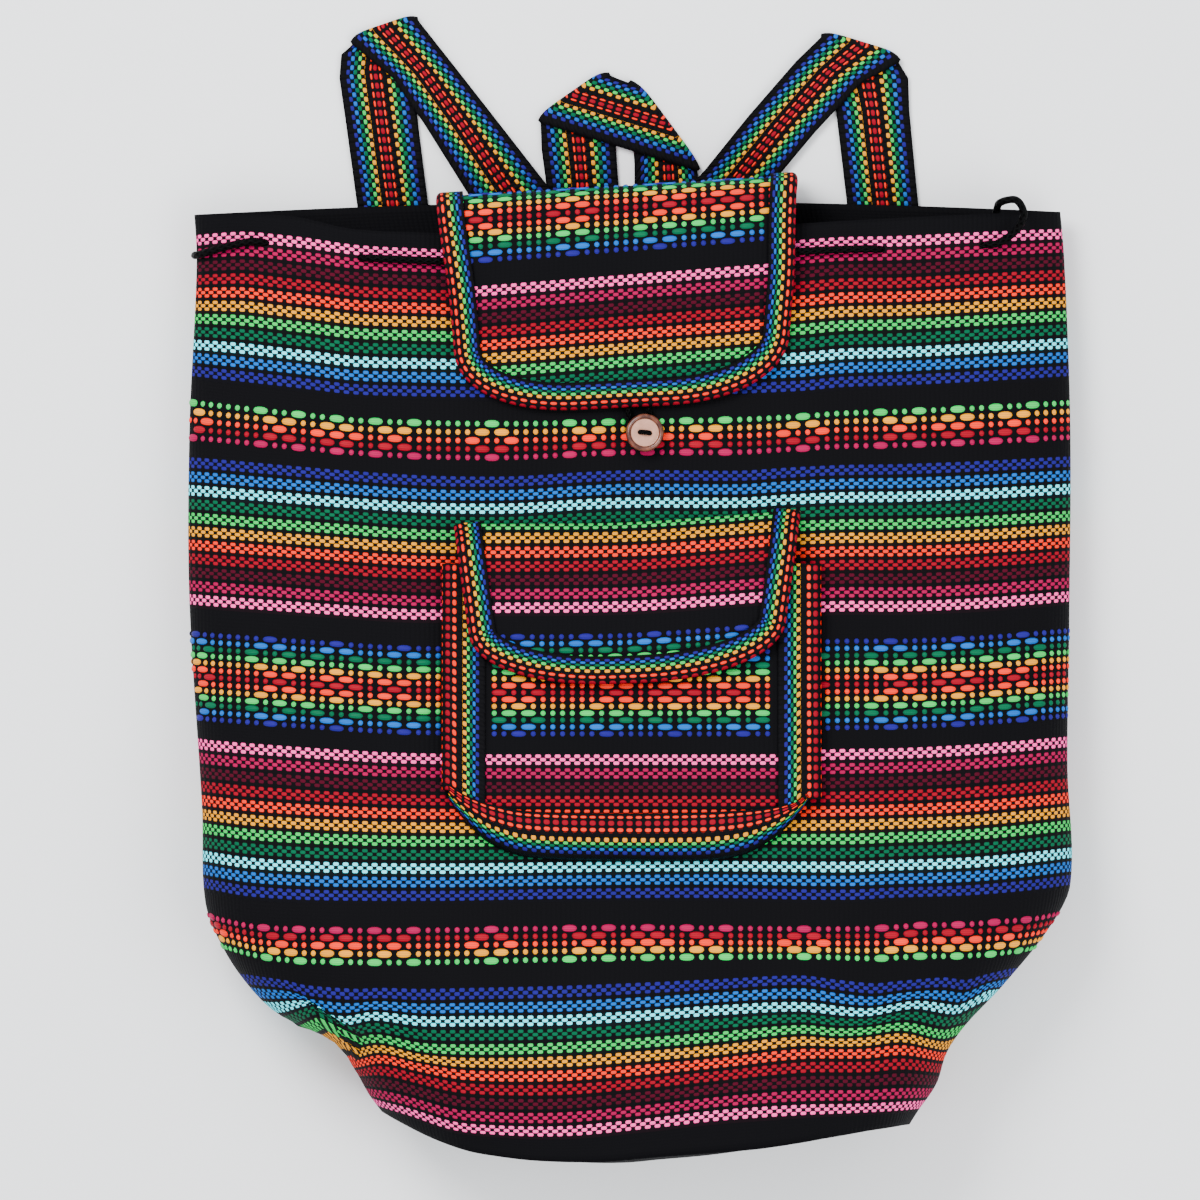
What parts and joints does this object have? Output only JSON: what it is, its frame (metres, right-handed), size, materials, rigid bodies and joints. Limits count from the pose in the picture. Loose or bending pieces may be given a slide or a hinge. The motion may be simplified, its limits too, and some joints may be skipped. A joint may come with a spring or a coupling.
{
  "type": "backpack",
  "caption": "Soft woven cotton backpack lying flat, striped, with a drawn mouth, a bound top flap with a button, a front pocket with a flap, webbing straps and a webbing haul loop.",
  "frame": {"origin": "on the outside of the bag's back, in the middle of its width and height", "axes": "+Y up the bag towards its mouth, +Z out of its front, +X to the right seen from the front; it lies on its back"},
  "size_m": [0.3732, 0.4806, 0.0949],
  "materials": {
    "striped_cloth": "woven",
    "base_cloth": "woven",
    "flap_cloth": "woven",
    "pocket_cloth": "woven",
    "pocket_flap_cloth": "woven",
    "flap_webbing": "woven",
    "pocket_flap_webbing": "woven",
    "pocket_webbing": "woven",
    "strap_webbing": "woven",
    "black_cord": "woven",
    "button_shell": "gloss"
  },
  "bodies": {
    "root": {"body_panel": "striped_cloth", "base_panel": "base_cloth", "top_flap": "flap_cloth", "pocket_panel": "pocket_cloth", "pocket_flap": "pocket_flap_cloth", "top_flap_binding": "flap_webbing", "pocket_flap_binding": "pocket_flap_webbing", "pocket_gusset": "pocket_webbing", "strap_left": "strap_webbing", "strap_right": "strap_webbing", "haul_loop": "strap_webbing", "drawstring": "black_cord", "drawstring_knot": "black_cord", "button_loop": "black_cord", "button_thread": "black_cord", "button": "button_shell"}
  },
  "joints": []
}
